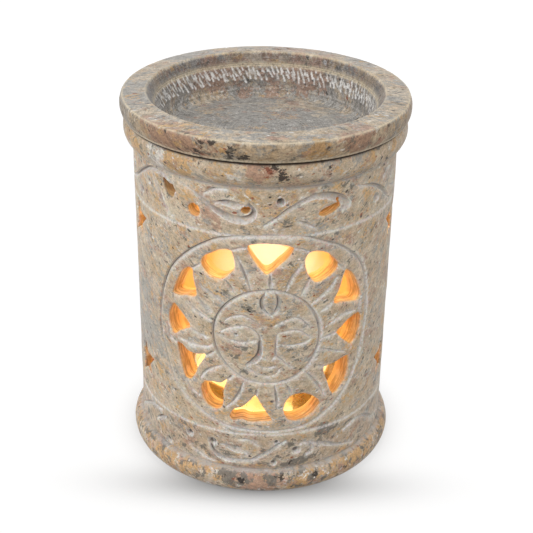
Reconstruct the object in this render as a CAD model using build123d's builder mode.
from build123d import *
import os
from math import cos, radians, sin

# An essential oil burner, turned and carved from one block of soapstone. A shallow dish
# for the oil lifts off the top, and a tealight candle goes in through an arch at the back.
# Millimetres, +Z up. The origin is the middle of the face that the burner stands on, and
# the sun carved on the front looks towards -Y.

# Stone body: the turned outside
wall_radius = 33.6
wall_flare = 0.4
foot_step = 1.8
foot_bead_swell = 0.7
foot_bead_height = 5.8
foot_groove_depth = 0.4
neck_groove_depth = 0.5
top_bead_swell = 1.4
top_bead_height = 7.2
seat_height = 94.4

# Stone body: the bored inside
wall_thickness = 5.0
floor_height = 7.0
mouth_ledge = 2.9
mouth_depth = 5.0
seat_width = 3.5
arch_clearance = 1.65
arch_head_clearance = 1.5
arch_crown_rise = 6.5

# Stone body: the carving
line_depth = 0.45
lower_band_height = 11.2
upper_band_height = 12.8
sun_overlap = 0.3
sun_lift = 0.6
sun_offset = 1.1
star_points = 5
star_radius = 5.9
star_waist_radius = 2.7
star_gap = 13.8
upper_star_drop = 6.0
lower_star_rise = 10.3
drilled_pit_depth = 2.5

# Oil dish
rim_thickness = 5.6
rim_face_overhang = 1.5
rim_face_drop = 0.5
rim_swell = 0.6
rim_under_overhang = 1.5
seam_gap = 0.2
lip_inset = 0.9
lip_drop = 2.8
lip_width = 1.7
bowl_batter = 2.9
bowl_depth = 11.0
bowl_foot_rounding = 3.0
dish_floor_thickness = 4.5
dish_base_taper = 1.4
spigot_length = 4.5
spigot_clearance = 0.4
bore_clearance = 0.8

# Tealight candle
cup_radius = 19.0
cup_height = 13.0
cup_skin = 0.5
cup_rim_roll = 0.35
wax_height = 9.0
wax_clearance = 0.1
tab_radius = 6.5
tab_thickness = 0.4
tab_collar_wall = 0.6
tab_collar_height = 3.0
wick_radius = 0.7
wick_rise = 6.0

overrun = 2.0

# Worked out from the sizes above, from the wall inwards and then out again to the rim
bore_radius = wall_radius - wall_thickness
neck_radius = wall_radius + wall_flare
foot_face_radius = wall_radius + foot_step
neck_height = seat_height - top_bead_height
mouth_radius = bore_radius + mouth_ledge
seat_radius = mouth_radius + seat_width
cup_rim_radius = cup_radius + cup_rim_roll
arch_width = 2 * (cup_rim_radius + arch_clearance)
arch_spring_height = floor_height + cup_height + arch_head_clearance
arch_crown_height = arch_spring_height + arch_crown_rise
rim_height = seat_height + rim_thickness
rim_face_radius = seat_radius + rim_face_overhang
bowl_floor_height = rim_height - bowl_depth
dish_base_height = bowl_floor_height - dish_floor_thickness
spigot_radius = mouth_radius - spigot_clearance
spigot_base_height = seat_height - spigot_length
dish_waist_radius = bore_radius - bore_clearance
dish_base_radius = dish_waist_radius - dish_base_taper
lip_radius = spigot_radius - lip_inset
bowl_wall_radius = lip_radius - lip_width
bowl_foot_radius = bowl_wall_radius - bowl_batter
wax_base_height = floor_height + cup_skin
tab_collar_radius = wick_radius + tab_collar_wall
through_depth = neck_radius - bore_radius + 2 * overrun

# The carved bands lie next to the beads, and the sun fills the panel between their lines
lower_line_height = foot_bead_height + lower_band_height
upper_line_height = neck_height - upper_band_height
sun_radius = (upper_line_height - lower_line_height) / 2 + sun_overlap
sun_height = (upper_line_height + lower_line_height) / 2 + sun_lift
star_spread = sun_radius + star_gap
upper_star_height = upper_line_height - upper_star_drop
lower_star_height = lower_line_height + lower_star_rise

# The twelve openings between the rays of the sun, clockwise from the top. Each outline is
# closed by a smooth curve through its points, and each point is a pair of shares of the
# sun's radius, measured across and up from the sun's middle.
sun_opening_shares = [
    [(-0.17, 0.86), (-0.04, 0.91), (0.12, 0.89), (0.22, 0.84), (0.10, 0.70), (0.00, 0.62),
     (-0.08, 0.69), (-0.15, 0.79)],
    [(0.41, 0.80), (0.56, 0.74), (0.64, 0.64), (0.55, 0.53), (0.41, 0.50), (0.34, 0.60),
     (0.31, 0.71), (0.34, 0.78)],
    [(0.72, 0.54), (0.82, 0.48), (0.89, 0.37), (0.93, 0.25), (0.86, 0.19), (0.72, 0.24),
     (0.61, 0.27), (0.65, 0.39)],
    [(0.66, -0.04), (0.77, 0.04), (0.89, 0.07), (0.95, 0.01), (0.92, -0.13), (0.84, -0.23),
     (0.75, -0.16)],
    [(0.55, -0.40), (0.66, -0.36), (0.79, -0.33), (0.83, -0.43), (0.78, -0.57), (0.67, -0.68),
     (0.60, -0.57)],
    [(0.25, -0.61), (0.38, -0.61), (0.51, -0.73), (0.45, -0.83), (0.34, -0.88), (0.21, -0.87),
     (0.17, -0.75)],
    [(-0.10, -0.60), (-0.02, -0.72), (0.06, -0.85), (-0.10, -0.87), (-0.29, -0.88),
     (-0.30, -0.78), (-0.18, -0.70)],
    [(-0.60, -0.60), (-0.54, -0.52), (-0.41, -0.49), (-0.38, -0.61), (-0.40, -0.75),
     (-0.49, -0.79), (-0.58, -0.71)],
    [(-0.84, -0.22), (-0.72, -0.26), (-0.57, -0.25), (-0.62, -0.38), (-0.70, -0.54),
     (-0.77, -0.54), (-0.83, -0.38)],
    [(-0.88, 0.16), (-0.78, 0.09), (-0.71, 0.00), (-0.78, -0.07), (-0.89, -0.14),
     (-0.96, -0.04), (-0.95, 0.08)],
    [(-0.72, 0.58), (-0.66, 0.53), (-0.64, 0.39), (-0.70, 0.30), (-0.81, 0.26), (-0.89, 0.28),
     (-0.85, 0.41), (-0.79, 0.52)],
    [(-0.33, 0.82), (-0.47, 0.78), (-0.58, 0.68), (-0.55, 0.58), (-0.43, 0.53), (-0.31, 0.62),
     (-0.28, 0.73)],
]

# The small openings among the scrolls above the sun. Each is an oval: how far across and up
# its middle is, its half length and half width, all as shares of the sun's radius, and its
# tilt in degrees.
scroll_opening_shares = [
    (-0.91, 1.24, 0.080, 0.050, -20),
    (-0.65, 1.13, 0.062, 0.062, 0),
    (-0.19, 1.21, 0.045, 0.035, 0),
    (0.51, 1.17, 0.120, 0.062, 10),
]

# Two drilled pits beside the scrolls, which stop inside the wall: how far across and up each
# middle is, and its radius, as shares of the sun's radius
drilled_pit_shares = [(0.10, 1.29, 0.038), (1.07, 1.13, 0.045)]


# A plane just outside the wall, square to it at a place given along the wall and up from the
# origin, for cutting straight in towards the axis
def wall_plane(along, height):
    turn = along / wall_radius
    outwards = Vector(sin(turn), -cos(turn), 0)
    return Plane(
        origin=outwards * (neck_radius + overrun) + Vector(0, 0, height),
        x_dir=(cos(turn), sin(turn), 0),
        z_dir=outwards,
    )


with BuildPart() as lantern_body:
    # The turned block: foot bead, straight wall, neck groove and top bead
    with BuildSketch(Plane.XZ):
        with BuildLine():
            foot_groove = (wall_radius - foot_groove_depth, foot_bead_height)
            wall_foot = (wall_radius, foot_bead_height + foot_groove_depth)
            wall_top = (neck_radius, neck_height - neck_groove_depth)
            neck_groove = (neck_radius - neck_groove_depth, neck_height)
            foot_middle = (foot_face_radius + foot_bead_swell, foot_bead_height / 2)
            bead_middle = (seat_radius + top_bead_swell, (neck_height + seat_height) / 2)
            Line((0, 0), (foot_face_radius, 0))
            ThreePointArc((foot_face_radius, 0), foot_middle, foot_groove)
            Line(foot_groove, wall_foot)
            Line(wall_foot, wall_top)
            Line(wall_top, neck_groove)
            ThreePointArc(neck_groove, bead_middle, (seat_radius, seat_height))
            Line((seat_radius, seat_height), (0, seat_height))
            Line((0, seat_height), (0, 0))
        make_face()
    revolve(axis=Axis.Z)
    # The candle chamber and the wider mouth that the dish drops into
    with BuildSketch(Plane.XY.offset(floor_height)):
        Circle(bore_radius)
    extrude(amount=seat_height - floor_height + overrun, mode=Mode.SUBTRACT)
    with BuildSketch(Plane.XY.offset(seat_height - mouth_depth)):
        Circle(mouth_radius)
    extrude(amount=mouth_depth + overrun, mode=Mode.SUBTRACT)
    # The low arch at the back, its sill flush with the chamber floor
    with BuildSketch(Plane.XZ):
        with BuildLine():
            left_spring = (-arch_width / 2, arch_spring_height)
            right_spring = (arch_width / 2, arch_spring_height)
            Line(left_spring, (-arch_width / 2, floor_height))
            Line((-arch_width / 2, floor_height), (arch_width / 2, floor_height))
            Line((arch_width / 2, floor_height), right_spring)
            ThreePointArc(right_spring, (0, arch_crown_height), left_spring)
        make_face()
    extrude(amount=-(seat_radius + top_bead_swell + overrun), mode=Mode.SUBTRACT)
    # Two turned lines round the wall
    for line_height in (lower_line_height, upper_line_height):
        with BuildSketch(Plane.XZ):
            with Locations((wall_radius + wall_flare / 2, line_height)):
                Circle(line_depth)
        revolve(axis=Axis.Z, mode=Mode.SUBTRACT)
    # The openings between the rays of the sun
    for shares in sun_opening_shares:
        middle_across = sum(across for across, up in shares) / len(shares)
        middle_up = sum(up for across, up in shares) / len(shares)
        place = wall_plane(
            sun_offset + middle_across * sun_radius, sun_height + middle_up * sun_radius
        )
        outline = [
            ((across - middle_across) * sun_radius, (up - middle_up) * sun_radius)
            for across, up in shares
        ]
        with BuildSketch(place):
            with BuildLine():
                Spline(*outline, periodic=True)
            make_face()
        extrude(amount=-through_depth, mode=Mode.SUBTRACT)
    # Four stars, two on each side of the sun
    star_outline = []
    for corner in range(2 * star_points):
        radius = star_waist_radius if corner % 2 else star_radius
        turn = radians(90 + corner * 180 / star_points)
        star_outline.append((radius * cos(turn), radius * sin(turn)))
    for side in (-1, 1):
        for star_height in (upper_star_height, lower_star_height):
            with BuildSketch(wall_plane(sun_offset + side * star_spread, star_height)):
                with BuildLine():
                    Polyline(*star_outline, close=True)
                make_face()
            extrude(amount=-through_depth, mode=Mode.SUBTRACT)
    # The small openings among the scrolls
    for across, up, half_length, half_width, tilt in scroll_opening_shares:
        place = wall_plane(sun_offset + across * sun_radius, sun_height + up * sun_radius)
        with BuildSketch(place):
            Ellipse(half_length * sun_radius, half_width * sun_radius, rotation=tilt)
        extrude(amount=-through_depth, mode=Mode.SUBTRACT)
    for across, up, pit_radius in drilled_pit_shares:
        place = wall_plane(sun_offset + across * sun_radius, sun_height + up * sun_radius)
        with BuildSketch(place):
            Circle(pit_radius * sun_radius)
        extrude(amount=-(overrun + drilled_pit_depth), mode=Mode.SUBTRACT)

with BuildPart() as oil_dish:
    # The dish is turned as one piece: bowl, lip, broad rim, and a spigot below that drops
    # into the mouth of the body
    with BuildSketch(Plane.XZ):
        with BuildLine():
            bowl_foot = (bowl_foot_radius, bowl_floor_height)
            lip_line = (bowl_wall_radius, rim_height - lip_drop)
            lip_top = (lip_radius, rim_height)
            rim_edge = (rim_face_radius, rim_height - rim_face_drop)
            rim_foot = (seat_radius + rim_under_overhang, seat_height + seam_gap)
            rim_middle = (rim_face_radius + rim_swell, (rim_edge[1] + rim_foot[1]) / 2)
            under_edge = (seat_radius, seat_height)
            Line((0, dish_base_height), (0, bowl_floor_height))
            Line((0, bowl_floor_height), bowl_foot)
            Line(bowl_foot, lip_line)
            Line(lip_line, lip_top)
            Line(lip_top, rim_edge)
            ThreePointArc(rim_edge, rim_middle, rim_foot)
            Line(rim_foot, under_edge)
            Line(under_edge, (spigot_radius, seat_height))
            Line((spigot_radius, seat_height), (spigot_radius, spigot_base_height))
            Line((spigot_radius, spigot_base_height), (dish_waist_radius, spigot_base_height))
            Line((dish_waist_radius, spigot_base_height), (dish_base_radius, dish_base_height))
            Line((dish_base_radius, dish_base_height), (0, dish_base_height))
        make_face()
    revolve(axis=Axis.Z)
    foot_edges = oil_dish.edges().filter_by(GeomType.CIRCLE).filter_by(
        lambda edge: abs(edge.radius - bowl_foot_radius) < bowl_foot_rounding / 2
        and abs(edge.arc_center.Z - bowl_floor_height) < bowl_foot_rounding / 2
    )
    fillet(foot_edges, radius=bowl_foot_rounding)

with BuildPart() as tealight_cup:
    # A pressed aluminium cup with a small rolled rim
    with BuildSketch(Plane.XY.offset(floor_height)):
        Circle(cup_radius)
    extrude(amount=cup_height)
    with BuildSketch(Plane.XY.offset(floor_height + cup_height - cup_skin)):
        Circle(cup_rim_radius)
    extrude(amount=cup_skin)
    with BuildSketch(Plane.XY.offset(wax_base_height)):
        Circle(cup_radius - cup_skin)
    extrude(amount=cup_height, mode=Mode.SUBTRACT)

with BuildPart() as wick_sustainer:
    # The tin disc that stands on the floor of the cup, with a collar that grips the wick
    with BuildSketch(Plane.XY.offset(wax_base_height)):
        Circle(tab_radius)
    extrude(amount=tab_thickness)
    with BuildSketch(Plane.XY.offset(wax_base_height)):
        Circle(tab_collar_radius)
    extrude(amount=tab_collar_height)
    with BuildSketch(Plane.XY.offset(wax_base_height)):
        Circle(wick_radius)
    extrude(amount=tab_collar_height, mode=Mode.SUBTRACT)

with BuildPart() as tealight_wick:
    with BuildSketch(Plane.XY.offset(wax_base_height)):
        Circle(wick_radius)
    extrude(amount=wax_height + wick_rise)

with BuildPart() as tealight_wax:
    # The wax fills the cup round the disc, the collar and the wick
    with BuildSketch(Plane.XY.offset(wax_base_height)):
        Circle(cup_radius - cup_skin - wax_clearance)
    extrude(amount=wax_height)
    with BuildSketch(Plane.XY.offset(wax_base_height)):
        Circle(tab_radius)
    extrude(amount=tab_thickness, mode=Mode.SUBTRACT)
    with BuildSketch(Plane.XY.offset(wax_base_height)):
        Circle(tab_collar_radius)
    extrude(amount=tab_collar_height, mode=Mode.SUBTRACT)
    with BuildSketch(Plane.XY.offset(wax_base_height)):
        Circle(wick_radius)
    extrude(amount=wax_height, mode=Mode.SUBTRACT)

pieces = {
    "lantern_body": lantern_body,
    "oil_dish": oil_dish,
    "tealight_cup": tealight_cup,
    "tealight_wax": tealight_wax,
    "tealight_wick": tealight_wick,
    "wick_sustainer": wick_sustainer,
}
os.makedirs("parts", exist_ok=True)
for label, piece in pieces.items():
    piece.part.label = label
    export_step(piece.part, f"parts/{label}.step")
    print(label, round(piece.part.volume), "cubic millimetres")
